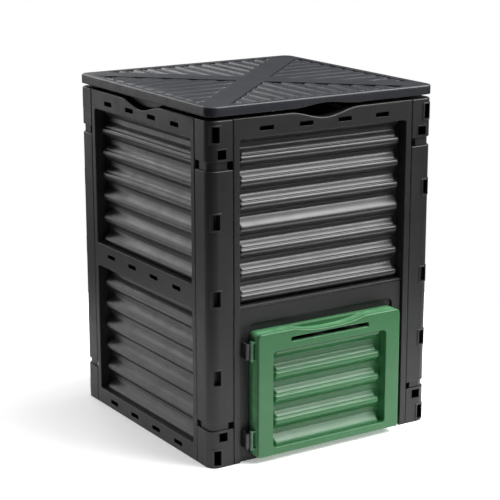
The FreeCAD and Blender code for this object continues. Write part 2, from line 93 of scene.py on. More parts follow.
def shrink(pts, d):
    """moves every edge to its left by d: into the material, for an anticlockwise outline or a clockwise hole"""
    p = np.array(pts, float)
    d1 = p - np.roll(p, 1, 0)
    d2 = np.roll(p, -1, 0) - p
    d1 /= np.linalg.norm(d1, axis=1)[:, None] + 1e-12
    d2 /= np.linalg.norm(d2, axis=1)[:, None] + 1e-12
    n1 = np.stack([-d1[:, 1], d1[:, 0]], 1)
    n2 = np.stack([-d2[:, 1], d2[:, 0]], 1)
    m = (n1 + n2) / np.maximum(1 + (n1 * n2).sum(1), 0.2)[:, None]
    return p + (np.asarray(d)[:, None] if np.ndim(d) else d) * m


def edge_in(b, n=3, flat=0.9):
    """profile of a rounded edge from the face to the side, as (shrink, depth)"""
    return [(b + flat, 0.0)] + [(b - b * math.sin(pi / 2 * i / n), b - b * math.cos(pi / 2 * i / n)) for i in range(n + 1)]


def edge_out(b, depth, n=2, flat=0.0):
    out = [(b - b * math.cos(pi / 2 * i / n), depth - b + b * math.sin(pi / 2 * i / n)) for i in range(n + 1)]
    return out + ([(b + flat, depth)] if flat else [])


# ------------------------------------------------------------------ meshes
def cap(verts, rings):
    """triangles that fill the region between closed rings of vertex numbers"""
    idx = [i for r in rings for i in r]
    co = [Vector((verts[i][0], verts[i][1])) for i in idx]
    edges, k = [], 0
    for r in rings:
        n = len(r)
        edges += [(k + i, k + (i + 1) % n) for i in range(n)]
        k += n
    ov, _, of, orig, _, _ = delaunay_2d_cdt(co, edges, [], 0, 1e-7)
    seg = np.array([[co[a][0], co[a][1], co[b][0], co[b][1]] for a, b in edges])
    out, extra = [], {}

    def number(v):
        if orig[v]:
            return idx[orig[v][0]]
        if v not in extra:
            extra[v] = len(verts)
            verts.append((ov[v][0], ov[v][1], verts[idx[0]][2]))
        return extra[v]

    tri = np.array([[ov[a][:], ov[b][:], ov[c][:]] for a, b, c in of])
    c = tri.mean(1)
    inside = np.zeros(len(c), int)
    for x0, y0, x1, y1 in seg:
        if y0 == y1:
            continue
        hit = ((y0 > c[:, 1]) != (y1 > c[:, 1])) & (c[:, 0] < (x1 - x0) * (c[:, 1] - y0) / (y1 - y0) + x0)
        inside += hit
    for f, ins in zip(of, inside):
        if ins % 2:
            out.append(tuple(number(v) for v in f))
    return out


def shell(loops, wide=None, upto=0.0):
    """closed body of loops [(outline, profile)], outer first, holes clockwise; a profile runs from the front
    face to the back face as (shrink, depth). Returns vertices (a, b, depth) and faces. wide gives factors
    for the rounded edge of the outer loop, down to the depth upto."""
    verts, faces, front, back = [], [], [], []
    for li, (pts, prof) in enumerate(loops):
        n, base = len(pts), len(verts)
        for o, d in prof:
            k = np.asarray(wide, float) if wide is not None and li == 0 and d <= upto else np.ones(n)
            q = shrink(pts, o * k)
            verts += [(float(x), float(y), float(d * kk)) for (x, y), kk in zip(q, k)]
        for k in range(len(prof) - 1):
            a, b = base + k * n, base + (k + 1) * n
            faces += [(a + i, b + i, b + (i + 1) % n, a + (i + 1) % n) for i in range(n)]
        front.append(list(range(base, base + n)))
        back.append(list(range(base + (len(prof) - 1) * n, base + len(prof) * n)))
    faces += cap(verts, front) + cap(verts, back)
    return np.array(verts, float), faces


def make(name, verts, faces):
    me = bpy.data.meshes.new(name)
    me.from_pydata([tuple(map(float, v)) for v in verts], [], [tuple(f) for f in faces])
    bm = bmesh.new()
    bm.from_mesh(me)
    bmesh.ops.remove_doubles(bm, verts=bm.verts, dist=1e-4)
    bmesh.ops.dissolve_degenerate(bm, edges=bm.edges, dist=1e-5)
    bmesh.ops.recalc_face_normals(bm, faces=bm.faces)
    bm.to_mesh(me)
    bm.free()
    o = bpy.data.objects.new(name, me)
    bpy.context.scene.collection.objects.link(o)
    return o


def on_wall(v, deg=0.0, y0=-HALF):
    """(u, z, depth) of a wall to the body frame, with the wall turned about Z"""
    v = np.asarray(v, float)
    x, y = v[:, 0], y0 + v[:, 2]
    c, s = math.cos(math.radians(deg)), math.sin(math.radians(deg))
    return np.stack([c * x - s * y, s * x + c * y, v[:, 1]], 1)


def upright(v, z0):
    """(x, y, depth) of a plan outline to the body frame, with depth counted downwards from z0"""
    v = np.asarray(v, float)
    return np.stack([v[:, 0], v[:, 1], z0 - v[:, 2]], 1)


def turned(v, deg):
    v = np.asarray(v, float)
    c, s = math.cos(math.radians(deg)), math.sin(math.radians(deg))
    return np.stack([c * v[:, 0] - s * v[:, 1], s * v[:, 0] + c * v[:, 1], v[:, 2]], 1)


def block(name, x0, x1, y0, y1, z0, z1, r=0.0, b=0.0):
    """rounded block, drawn in plan"""
    pts = rrect(x0, x1, y0, y1, r, 3)
    h = z1 - z0
    prof = [(0, 0), (0, h)] if b <= 0 else edge_in(b, 2, 0.0)[1:] + edge_out(b, h)
    v, f = shell([(pts, prof)])
    return make(name, upright(v, z1), f)


def slab(name, u0, u1, z0, z1, w0, w1, r=0.0, b=0.0, deg=0.0, n=4):
    """rounded block, drawn on a wall face from depth w0 to w1"""
    h = w1 - w0
    prof = [(0, 0), (0, h)] if b <= 0 else edge_in(b, 3, 0.0)[1:] + [(0, h)]
    v, f = shell([(rrect(u0, u1, z0, z1, r, n), prof)])
    v[:, 2] += w0
    return make(name, on_wall(v, deg), f)


def rod(name, p, q, r, n=20, cham=0.5):
    """round bar with broken ends between two points"""
    p, q = Vector(p), Vector(q)
    h = (q - p).length
    v, f = shell([(arc(0, 0, r, 0, 360 * (n - 1) / n, n - 1), edge_in(cham, 2, 0.0)[1:] + edge_out(cham, h))])
    m = (q - p).to_track_quat("Z", "Y").to_matrix()
    v = [m @ Vector(x) + p for x in v]
    return make(name, v, f)


def volume(me):
    bm = bmesh.new()
    bm.from_mesh(me)
    v = bm.calc_volume()
    bm.free()
    return v


def boolean(a, cutters, op="DIFFERENCE"):
    for c in cutters:
        v0 = volume(a.data)
        m = a.modifiers.new("b", "BOOLEAN")
        m.object, m.operation, m.solver = c, op, "MANIFOLD"
        dg = bpy.context.evaluated_depsgraph_get()
        dg.update()
        me = bpy.data.meshes.new_from_object(a.evaluated_get(dg))
        if len(me.polygons) < 6 or abs(volume(me) - v0) < 1.0:
            m.solver = "EXACT"
            dg.update()
            me = bpy.data.meshes.new_from_object(a.evaluated_get(dg))
        a.modifiers.clear()
        old = a.data
        a.data = me
        bpy.data.meshes.remove(old)
        bpy.data.objects.remove(c)
    return a


def joined(name, objs):
    """one object that holds the meshes of several"""
    bm = bmesh.new()
    for o in objs:
        bm.from_mesh(o.data)
    me = bpy.data.meshes.new(name)
    bm.to_mesh(me)
    bm.free()
    for o in objs:
        bpy.data.objects.remove(o)
    o = bpy.data.objects.new(name, me)
    bpy.context.scene.collection.objects.link(o)
    return o


def copied(o, name, deg):
    me = o.data.copy()
    me.transform(Matrix.Rotation(math.radians(deg), 4, "Z"))
    c = bpy.data.objects.new(name, me)
    bpy.context.scene.collection.objects.link(c)
    return c


def mirrored(o, name, mx, my):
    me = o.data.copy()
    me.transform(Matrix.Diagonal((mx, my, 1.0, 1.0)))
    if mx * my < 0:
        me.flip_normals()
    c = bpy.data.objects.new(name, me)
    bpy.context.scene.collection.objects.link(c)
    return c


def finish_piece(o, name, body, mat, nodes, angle=38.0, weighted=True):
    me = o.data
    me.transform(Matrix.Scale(0.001, 4) @ Matrix.Translation((0, YS, 0)))
    me.update()
    for p in me.polygons:
        p.use_smooth = True
    me.set_sharp_from_angle(angle=math.radians(angle))
    if weighted:
        w = o.modifiers.new("wn", "WEIGHTED_NORMAL")
        w.keep_sharp = True
        w.weight = 60
    me.materials.clear()
    me.materials.append(mat)
    me.name = name
    o.name = name
    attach(o, body)
    if nodes:
        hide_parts(*nodes)
    return o


# ------------------------------------------------------------------ materials
def plastic(name, dark, light, rough, spec=0.5, grain=0.06, grain_scale=620.0, edge=(0.0, 0.0, 0.0), edge_highlight_amount=0.0,
            streak=0.0, dust=0.0, mottle=0.13):
    m = bpy.data.materials.new(name)
    m.use_nodes = True
    nt = m.node_tree
    nt.nodes.clear()
    N, K = nt.nodes.new, nt.links.new
    out = N("ShaderNodeOutputMaterial")
    bs = N("ShaderNodeBsdfPrincipled")
    K(bs.outputs["BSDF"], out.inputs["Surface"])
    bs.inputs["Specular IOR Level"].default_value = spec
    bs.inputs["IOR"].default_value = 1.5
    co = N("ShaderNodeTexCoord")

    def noise(scale, detail, rough_=0.55, stretch=None):
        t = N("ShaderNodeTexNoise")
        t.inputs["Scale"].default_value = scale
        t.inputs["Detail"].default_value = detail
        t.inputs["Roughness"].default_value = rough_
        if stretch:
            mp = N("ShaderNodeMapping")
            mp.inputs["Scale"].default_value = stretch
            K(co.outputs["Object"], mp.inputs["Vector"])
            K(mp.outputs["Vector"], t.inputs["Vector"])
        else:
            K(co.outputs["Object"], t.inputs["Vector"])
        return t

    def ramp(src, a, b, lo, hi):
        r = N("ShaderNodeMapRange")
        r.inputs["From Min"].default_value, r.inputs["From Max"].default_value = a, b
        r.inputs["To Min"].default_value, r.inputs["To Max"].default_value = lo, hi
        K(src, r.inputs["Value"])
        return r.outputs["Result"]

    def mix(fac, a, b, mode="MIX"):
        x = N("ShaderNodeMix")
        x.data_type, x.blend_type = "RGBA", mode
        K(fac, x.inputs[0]) if not isinstance(fac, float) else setattr(x.inputs[0], "default_value", fac)
        for v, s in ((a, x.inputs[6]), (b, x.inputs[7])):
            if isinstance(v, tuple):
                s.default_value = (*v, 1.0)
            else:
                K(v, s)
        return x.outputs[2]

    cloud = noise(7.0, 4.0)
    fine = noise(260.0, 3.0, 0.6)
    col = mix(ramp(cloud.outputs["Fac"], 0.35, 0.68, 0.0, 1.0), dark, light)
    speck = ramp(fine.outputs["Fac"], 0.35, 0.7, 1.0 - mottle, 1.0 + mottle)
    hs = N("ShaderNodeHueSaturation")
    K(speck, hs.inputs["Value"])
    K(col, hs.inputs["Color"])
    col = hs.outputs["Color"]
    if streak:
        st = noise(3.0, 3.0, 0.6, (14.0, 14.0, 1.2))
        col = mix(ramp(st.outputs["Fac"], 0.45, 0.75, 0.0, streak), col, tuple(min(1.0, c * 1.9 + 0.004) for c in light))
    geo = N("ShaderNodeNewGeometry")
    # painted highlight: convex edges, found by pointiness, get the lighter edge colour, broken up by noise
    if edge_highlight_amount:
        edge_highlight_noise = noise(46.0, 4.0, 0.65)
        e = ramp(geo.outputs["Pointiness"], 0.515, 0.60, 0.0, 1.0)
        mul = N("ShaderNodeMath")
        mul.operation = "MULTIPLY"
        K(e, mul.inputs[0])
        K(ramp(edge_highlight_noise.outputs["Fac"], 0.30, 0.62, edge_highlight_amount * 0.35, edge_highlight_amount), mul.inputs[1])
        col = mix(mul.outputs[0], col, edge)
    if dust:
        # a little dull residue where the surface looks upwards
        sep = N("ShaderNodeSeparateXYZ")
        K(geo.outputs["Normal"], sep.inputs["Vector"])
        dn = noise(38.0, 5.0, 0.7)
        d = N("ShaderNodeMath")
        d.operation = "MULTIPLY"
        K(ramp(sep.outputs["Z"], 0.55, 1.0, 0.0, dust), d.inputs[0])
        K(ramp(dn.outputs["Fac"], 0.38, 0.7, 0.0, 1.0), d.inputs[1])
        col = mix(d.outputs[0], col, tuple(c * 1.4 + 0.02 for c in light))
    K(col, bs.inputs["Base Color"])
    mott = noise(30.0, 4.0, 0.6)
    K(ramp(mott.outputs["Fac"], 0.3, 0.7, rough - 0.045, rough + 0.055), bs.inputs["Roughness"])
    # spark-eroded grain: small cells under fine noise, and a slow sink-mark waviness
    vor = N("ShaderNodeTexVoronoi")
    vor.inputs["Scale"].default_value = grain_scale
    K(co.outputs["Object"], vor.inputs["Vector"])
    gn = noise(grain_scale * 2.1, 2.0, 0.5)
    add = N("ShaderNodeMath")
    add.operation = "ADD"
    K(vor.outputs["Distance"], add.inputs[0])
    K(gn.outputs["Fac"], add.inputs[1])
    b1 = N("ShaderNodeBump")
    b1.inputs["Strength"].default_value = grain
    b1.inputs["Distance"].default_value = 0.0005
    K(add.outputs[0], b1.inputs["Height"])
    wav = noise(11.0, 2.0, 0.4)
    b2 = N("ShaderNodeBump")
    b2.inputs["Strength"].default_value = 0.10
    b2.inputs["Distance"].default_value = 0.0016
    K(wav.outputs["Fac"], b2.inputs["Height"])
    K(b2.outputs["Normal"], b1.inputs["Normal"])
    K(b1.outputs["Normal"], bs.inputs["Normal"])
    return m


# in each material the lighter colour after the grain scale is painted onto convex edges as a highlight, at the amount
# that follows it
M_WALL = plastic("wall_plastic", (0.0085, 0.0085, 0.0087), (0.0115, 0.0114, 0.0115), 0.44, 0.36, 0.10, 640.0,
                 (0.04, 0.0395, 0.039), 0.30, 0.05, 0.06)
M_POST = plastic("post_plastic", (0.0080, 0.0080, 0.0082), (0.0110, 0.0110, 0.0111), 0.44, 0.34, 0.10, 640.0,
                 (0.04, 0.0395, 0.039), 0.25, 0.05, 0.05)
M_RIB = plastic("rib_plastic", (0.0085, 0.0085, 0.0087), (0.0115, 0.0114, 0.0115), 0.36, 0.56, 0.07, 640.0,
                (0.04, 0.04, 0.04), 0.0, 0.06, 0.10)
M_LID = plastic("lid_plastic", (0.0085, 0.0092, 0.0125), (0.0125, 0.0133, 0.0170), 0.42, 0.34, 0.12, 700.0,
                (0.060, 0.061, 0.066), 0.45, 0.0, 0.16)
M_CLIP = plastic("clip_plastic", (0.0140, 0.0140, 0.0145), (0.0200, 0.0200, 0.0205), 0.42, 0.5, 0.08, 700.0,
                 (0.06, 0.06, 0.06), 0.4)
M_GREEN = plastic("door_plastic", (0.013, 0.092, 0.026), (0.018, 0.108, 0.033), 0.38, 0.46, 0.08, 640.0,
                  (0.20, 0.42, 0.24), 0.5, 0.0, 0.03, 0.04)


# ------------------------------------------------------------------ corner posts and brackets, at the front left
A0, A1 = -303.0, -241.8


def tube_plan(off, r_outer=24.0, n=14):
    lo, hi = A0 + off, A1 - off
    return rrect(lo, hi, lo, hi, [3.2, 3.2, 3.2, max(r_outer - off, 3.2)], [3, 3, 3, n])


def tube(name, off, wall, z0, z1, b_top=1.2, b_bot=1.2, closed_top=0.0):
    h = z1 - z0
    outer = (tube_plan(off), edge_in(b_top, 3, 0.5) + edge_out(b_bot, h, 3, 0.4))
    if closed_top:
        v, f = shell([outer])
        o = make(name, upright(v, z1), f)
        vi, fi = shell([(tube_plan(off + wall), [(0, 0), (0, h)])])
        c = make(name + "_c", upright(vi, z1 - closed_top), fi)
        return boolean(o, [c])
    inner = (hole(tube_plan(off + wall)), [(0.5, 0), (0.0, 0.5), (0.0, h - 0.5), (0.5, h)])
    v, f = shell([outer, inner])
    return make(name, upright(v, z1), f)


def add_rims(o, zs, lo=0.0, hi=787.0):
    """raised surrounds of the clip windows in the front face, then the windows themselves"""
    for zc in zs:
        z0, z1 = max(zc - 20.75, lo), min(zc + 20.75, hi)
        # the surround follows the rounded corner
        r = tube("rim", -1.5, 4.5, z0, z1, 1.2, 1.2)
        boolean(r, [slab("field", -297.5, -272.5, z0 - 2.0, z1 + 2.0, -3.0, 10.3, 0.0, 0.0)], "INTERSECT")
        boolean(o, [r], "UNION")
    cuts = [slab("win", -293.0, -276.5, zc - 17.25, zc + 17.25, -6.0, 13.0, 1.4, 0.0, 0.0, 3) for zc in zs]
    return boolean(o, [joined("wins", cuts)])


def swap_xy(o):
    """turns a feature of the front face into one of the left face"""
    o.data.transform(Matrix(((0, 1, 0, 0), (1, 0, 0, 0), (0, 0, 1, 0), (0, 0, 0, 1))))
    o.data.flip_normals()


def corner_post(windows):
    o = tube("post", 0.0, 3.0, 103.0, 677.0, 2.2, 1.6)
    for z0, z1 in ((62.0, 104.5), (675.5, 722.0)):
        boolean(o, [tube("neck", 4.3, 3.0, z0, z1, 0.6, 0.6)], "UNION")
    add_rims(o, windows)
    cuts = []
    for z0, z1 in ((87.5, 102.5), (677.5, 696.5)):
        for side in (0, 1):
            c = slab("gap", -255.2, -247.0, z0, z1, 2.0, 12.0, 0.0, 0.0)
            if side:
                swap_xy(c)
            cuts.append(c)
    for z0, z1 in ((58.0, 84.5), (699.5, 726.0)):
        cuts.append(slab("behind", -283.5, -257.5, z0, z1, 2.0, 9.0, 0.0, 0.0))
    return boolean(o, [joined("gaps", cuts)])


def corner_bracket(z0, z1, zc, square, capped):
    o = tube("bracket", 0.0, 4.0, z0, z1, 3.2 if capped else 1.6, 1.2, 3.4 if capped else 0.0)
    if not capped:
        v, f = shell([(tube_plan(1.6), edge_in(0.4, 1, 0.0)[1:] + edge_out(0.4, 2.8, 1))])
        boolean(o, [make("foot", upright(v, z0 + 3.2), f)], "UNION")
    q0, q1 = square
    # a low flat bead around the square hole, then the hole
    boolean(o, [slab("bead", -283.4, -257.6, q0 - 1.9, q1 + 1.9, -0.5, 2.0, 2.2, 0.5, 0.0, 3)], "UNION")
    add_rims(o, [zc], 0.4, 786.6)
    return boolean(o, [slab("sq", -281.5, -259.5, q0, q1, -4.0, 6.6, 1.4, 0.0, 0.0, 3)])


POSTS = (("front_left", 1, 1), ("front_right", -1, 1), ("rear_right", -1, -1), ("rear_left", 1, -1))
post_left, post_right = corner_post((565.0, 393.0, 211.5)), corner_post((578.0, 368.0, 211.5))
base_top = corner_bracket(697.0, 787.0, CLIP_Z[0], (702.0, 723.0), True)
base_bot = corner_bracket(0.0, 87.0, CLIP_Z[4], (61.0, 82.0), False)
for nm, mx, my in POSTS:
    for base, node in ((post_left if mx > 0 else post_right, "corner_post_"), (base_top, "top_corner_bracket_"), (base_bot, "bottom_corner_bracket_")):
        c = mirrored(base, node + nm, mx, my)
        finish_piece(c, "moulded_" + node + nm, "bin", M_POST, [node + nm], 32.0)
for b in (post_left, post_right, base_top, base_bot):
    bpy.data.objects.remove(b)


# ------------------------------------------------------------------ wall frames
def frame_outline():
    """outline of a wall with the hand scoop in its top edge, anticlockwise from the lower left"""
    n = 40
    top = [(u, HEIGHT - bell(u, 95.0, 17.0)) for u in [95.0 - 190.0 * i / n for i in range(n + 1)]]
    return [(-FU, 0.0), (FU, 0.0), (FU, HEIGHT)] + top + [(-FU, HEIGHT)]


# outer rim: rounded front edge, a narrow lip, then a step down before the flange that closes the wall
RIM = edge_in(1.7, 4, 1.0) + [(0.0, 5.2), (0.7, 6.0), (5.2, 6.4), (5.2, 29.6), (5.6, 30.0), (7.6, 30.0), (7.8, 29.6), (7.8, 2.6)]
JAMB = edge_in(1.5, 4, 1.0) + [(0.0, 29.4), (0.6, 30.0), (2.4, 30.0), (2.6, 29.6), (2.6, 2.6)]
SLOT = edge_in(0.8, 2, 0.7) + [(0.0, 2.6)]


def wall_frame(windows, slots, ribs_z):
    loops = [(frame_outline(), RIM)]
    for z0, z1 in windows:
        loops.append((hole(rrect(-WIN_U, WIN_U, z0, z1, 6.0, 5)), JAMB))
    for z in slots:
        for u in SLOT_U:
            loops.append((hole(rrect(u - 18, u + 18, z - 5, z + 5, 1.6, 2)), SLOT))
    v, f = shell(loops, [1.9 if z > 765 else 1.0 for _, z in frame_outline()], 1.7)
    parts = [make("frame", on_wall(v), f)]
    for z0, z1 in ribs_z:
        parts.append(slab("back", -FU + 9.0, FU - 9.0, z0 + 0.5, min(z1 - 0.5, 768.0), 27.2, 29.0, 1.0, 0.4, 0.0, 1))
        if z1 > 770:
            for u0, u1 in ((-FU + 9.0, -101.0), (101.0, FU - 9.0)):
                parts.append(slab("back", u0, u1, 760.0, 778.5, 27.0, 28.8, 1.0, 0.4, 0.0, 1))
        for u in (-104.0, 0.0, 104.0):
            top = z1 - (bell(u, 95.0, 17.0) if z1 > 770 else 0.0)
            parts.append(slab("rib", u - 1.3, u + 1.3, z0, top, 2.0, 29.2, 0.3, 0.4, 0.0, 1))
    for zc in CLIP_Z:
        for s in (-1, 1):
            u0, u1 = sorted((s * (FU - 8.0), s * 262.0))
            parts.append(slab("tongue", u0, u1, zc - 14.0, zc + 14.0, 8.2, 11.2, 1.5, 0.8, 0.0, 2))
    return joined("wall", parts)


side_wall = wall_frame([(SIDE_BOT, SIDE_MID[0]), (SIDE_MID[1], RAIL_Z)], (760.5, 388.5, 18.5),
                       [(745.0, 779.0), (360.0, 410.0), (8.0, 37.0)])
for nm, deg in (("left", -90), ("right", 90), ("rear", 180)):
    c = copied(side_wall, nm, deg)
    finish_piece(c, "moulded_%s_wall_frame" % nm, "bin", M_WALL, [nm + "_wall_frame"])
bpy.data.objects.remove(side_wall)

# the front wall has one tall opening: ribbed panel above, door surround let in below
n = 40
top = [(u, HEIGHT - bell(u, 95.0, 17.0)) for u in [95.0 - 190.0 * i / n for i in range(n + 1)]]
# stiles and rails in one outline; the opening runs from the foot to the top rail
outl = [(-FU, 0.0), (-WIN_U, 0.0), (-WIN_U, RAIL_Z - 6.0)] + arc(-WIN_U + 6, RAIL_Z - 6, 6.0, 180, 90, 5)[1:] \
    + arc(WIN_U - 6, RAIL_Z - 6, 6.0, 90, 0, 5) + [(WIN_U, 0.0), (FU, 0.0), (FU, HEIGHT)] + top + [(-FU, HEIGHT)]
FRONT_RIM = edge_in(1.6, 4, 1.0) + [(0.0, 5.2), (0.3, 6.0), (0.6, 29.4), (1.0, 30.0), (2.6, 30.0), (2.8, 29.6), (2.8, 2.6)]
loops = [(outl, FRONT_RIM)]
for u in SLOT_U:
    loops.append((hole(rrect(u - 18, u + 18, 755.5, 765.5, 1.6, 2)), SLOT))
v, f = shell(loops, [1.9 if z > 765 else 1.0 for _, z in outl], 1.6)
fparts = [make("frame", on_wall(v), f), slab("back", -FU + 9.0, FU - 9.0, 745.5, 768.0, 27.2, 29.0, 1.0, 0.4, 0.0, 1)]
# cross rail under the ribbed panel
v, f = shell([(rrect(-WIN_U + 0.2, WIN_U - 0.2, FRONT_LOW - 7.0, FRONT_LOW, 0.8, 2), edge_in(1.2, 4, 0.6) + edge_out(0.5, 22.6, 1))])
v[:, 2] += 7.0
fparts.append(make("rail", on_wall(v), f))
for u in (-104.0, 0.0, 104.0):
    fparts.append(slab("rib", u - 1.3, u + 1.3, 745.0, 779.0 - bell(u, 95.0, 17.0), 2.0, 29.2, 0.3, 0.4, 0.0, 1))
for zc in CLIP_Z:
    for s in (-1, 1):
        u0, u1 = sorted((s * (FU - 8.0), s * 268.0))
        fparts.append(slab("tongue", u0, u1, zc - 14.0, zc + 14.0, 8.2, 11.2, 1.5, 0.8, 0.0, 2))
finish_piece(joined("front", fparts), "moulded_front_wall_frame", "bin", M_WALL, ["front_wall_frame"])


# ------------------------------------------------------------------ ribbed infill panels
def smax(a, b, k):
    h = np.maximum(k - np.abs(a - b), 0.0) / k
    return np.maximum(a, b) + h * h * k * 0.25


def ease(t):
    t = np.clip(t, 0.0, 1.0)
    return t * t * (3 - 2 * t)


def rib_height(U, Z, ribs, doubles, rib_u, rise, end=9.0):
    """how far the sheet stands out of its back plane: each rib has a broad slope above its crest and a short
    one below, and the double ones a thin groove along the slope"""
    H = np.zeros_like(U)
    z_first, pitch, count = ribs
    for k in range(-1, count):
        zc = z_first - pitch * k
        if k == -1 and -1 not in doubles:
            continue
        two = k in doubles
        crest, above, below = (zc - 5.0, 25.5, 20.0) if two else (zc - 3.0, 24.0, 22.0)
        t = (Z - crest) / np.where(Z > crest, above, below)
        body = np.where(np.abs(t) < 1, 0.5 * (1 + np.cos(pi * np.clip(t, -1, 1))), 0.0) ** np.where(Z > crest, 0.84 if two else 0.72, 0.72) * rise
        ru = np.full_like(U, rib_u)
        if two:
            g = zc + 4.4
            body += (0.9 * np.exp(-((Z - g - 5.6) / 4.2) ** 2) + 0.5 * np.exp(-((Z - g + 4.4) / 3.4) ** 2)
                     - 1.7 * np.exp(-((Z - g) / 1.5) ** 2)) * (body > 0.5)
            ru = rib_u - 6.0 * ease((Z - g + 1.5) / 3.0)
        e = np.clip((np.abs(U) - (ru - end)) / end, 0.0, 1.0)
        H = np.maximum(H, body * np.sqrt(np.clip(1 - e ** 2.2, 0, None)))
    return H


def rib_sheet(name, u_half, z0, z1, ribs, doubles, rib_u, crest, valley, lap, lap_z, step=0.75, thick=2.4):
    us = [0.0]
    x = 0.0
    while x < rib_u - 18:
        x += min(30.0, max(6.0, (rib_u - 18 - x) * 0.5))
        us.append(min(x, rib_u - 18))
    x = rib_u - 18
    while x < rib_u + 2.5:
        x += 0.9
        us.append(x)
    us += [u_half, u_half + lap]
    us = sorted(set(round(t, 4) for t in us if t <= u_half + lap))
    us = [-t for t in reversed(us[1:])] + us
    zs = list(np.arange(z0 + 0.3, z1 - 0.3, step)) + [z1 - 0.3]
    zs = [z0 - lap_z, z0 - 0.05] + zs + [z1 + 0.05, z1 + lap_z]
    U, Z = np.meshgrid(np.array(us), np.array(zs))
    H = rib_height(U, Z, ribs, doubles, rib_u, valley - crest)
    H[(Z < z0) | (Z > z1)] = 0.0
    H = np.where(H < 0.02, 0.0, H)
    nz, nu = U.shape
    W = valley - H
    slope = np.hypot(*np.gradient(H, np.array(zs), np.array(us)))
    Wb = W + thick * np.minimum(np.sqrt(1 + slope ** 2), 1.8)
    fr = np.stack([U.ravel(), Z.ravel(), W.ravel()], 1)
    bk = np.stack([U.ravel(), Z.ravel(), Wb.ravel()], 1)
    v = np.concatenate([fr, bk])
    idx = np.arange(nz * nu).reshape(nz, nu)
    faces = []
    for off, flip in ((0, False), (nz * nu, True)):
        a, b, c, d = idx[:-1, :-1] + off, idx[:-1, 1:] + off, idx[1:, 1:] + off, idx[1:, :-1] + off
        q = np.stack([a, b, c, d] if not flip else [a, d, c, b], -1).reshape(-1, 4)
        faces += [tuple(int(t) for t in r) for r in q]
    ring = list(idx[0, :]) + list(idx[1:, -1]) + list(idx[-1, -2::-1]) + list(idx[-2:0:-1, 0])
    m = nz * nu
    for i in range(len(ring)):
        a, b = int(ring[i]), int(ring[(i + 1) % len(ring)])
        faces.append((a, a + m, b + m, b))
    return v, faces


def make_grid(name, verts, faces):
    me = bpy.data.meshes.new(name)
    me.from_pydata([tuple(map(float, v)) for v in verts], [], faces)
    bm = bmesh.new()
    bm.from_mesh(me)
    bmesh.ops.recalc_face_normals(bm, faces=bm.faces)
    bm.to_mesh(me)
    bm.free()
    o = bpy.data.objects.new(name, me)
    bpy.context.scene.collection.objects.link(o)
    return o


RIB_U = 219.5
v, f = rib_sheet("front_ribs", WIN_U, FRONT_LOW, RAIL_Z, (698.0, 52.07, 8), {-1, 0, 1, 2, 4, 5, 6}, RIB_U, 13.0, 30.2, 7.0, 0.6)
finish_piece(make_grid("f", on_wall(v), f), "moulded_front_upper_rib_panel", "bin", M_RIB, ["front_upper_rib_panel"], 55.0, False)
v, f = rib_sheet("side_up", WIN_U, SIDE_MID[1], RAIL_Z, (693.5, 53.7, 6), {-1, 0, 1, 2}, RIB_U, 13.0, 30.2, 7.0, 7.0)
w, g = rib_sheet("side_lo", WIN_U, SIDE_BOT, SIDE_MID[0], (315.5, 53.9, 6), set(), RIB_U, 13.0, 30.2, 7.0, 7.0)
for nm, deg in (("left", -90), ("right", 90), ("rear", 180)):
    finish_piece(make_grid("u", on_wall(v, deg), f), "moulded_%s_upper_rib_panel" % nm, "bin", M_RIB, [nm + "_upper_rib_panel"], 55.0, False)
    finish_piece(make_grid("l", on_wall(w, deg), g), "moulded_%s_lower_rib_panel" % nm, "bin", M_RIB, [nm + "_lower_rib_panel"], 55.0, False)


# ------------------------------------------------------------------ door surround
DH_X, DH_Y = -204.0, -316.0
DH_Z = ((36.5, 72.5), (246.5, 282.5))
SURR_U = 222.5
outline = rrect(-SURR_U, SURR_U, 0.0, FRONT_LOW - 7.3, 0.0)
opening = hole(rrect(-198.5, 198.5, 9.0, 321.0, 13.0, 7))
loops = [(outline, edge_in(0.6, 2, 0.4) + [(0, 22.6), (0.3, 23.0), (2.3, 23.0), (2.6, 22.6), (2.6, 2.6)]),
         (opening, edge_in(1.4, 4, 0.8) + [(0.0, 7.6), (0.4, 8.0), (2.6, 8.0), (2.9, 7.6), (2.9, 2.6)])]
v, f = shell(loops)
v[:, 2] += 7.0
sur = make("sur", on_wall(v), f)
v, f = shell([(rrect(-200.5, 200.5, 7.0, 323.0, 13.0, 7), [(0.0, 0.0), (0.0, 3.0)]),
              (hole(rrect(-182.0, 182.0, 24.0, 295.0, 8.0, 6)), edge_in(1.0, 3, 0.8) + [(0.0, 2.6), (0.4, 3.0)])])
v[:, 2] += 12.0
stop = make("stop", on_wall(v), f)
boolean(sur, [stop], "UNION")
cuts = [slab("hs", DH_X - 14.0, DH_X - 4.9, z0 - 0.3, z1 + 0.3, 4.0, 12.0, 0.6, 0.0, 0.0, 2) for z0, z1 in DH_Z]
boolean(sur, [joined("hs", cuts)])
finish_piece(sur, "moulded_door_surround", "bin", M_WALL, ["door_surround"], 34.0)


# ------------------------------------------------------------------ hinge clips of the door
def clip_plan():
    """C-shaped jaw as a plan outline about the hinge axis; its nose and foot are added in door_clip"""
    a0, a1 = 25.0, 222.0
    outer = arc(0, 0, 7.6, a0, a1, 22)
    inner = arc(0, 0, 4.08, a1, a0, 22)
    return outer, inner


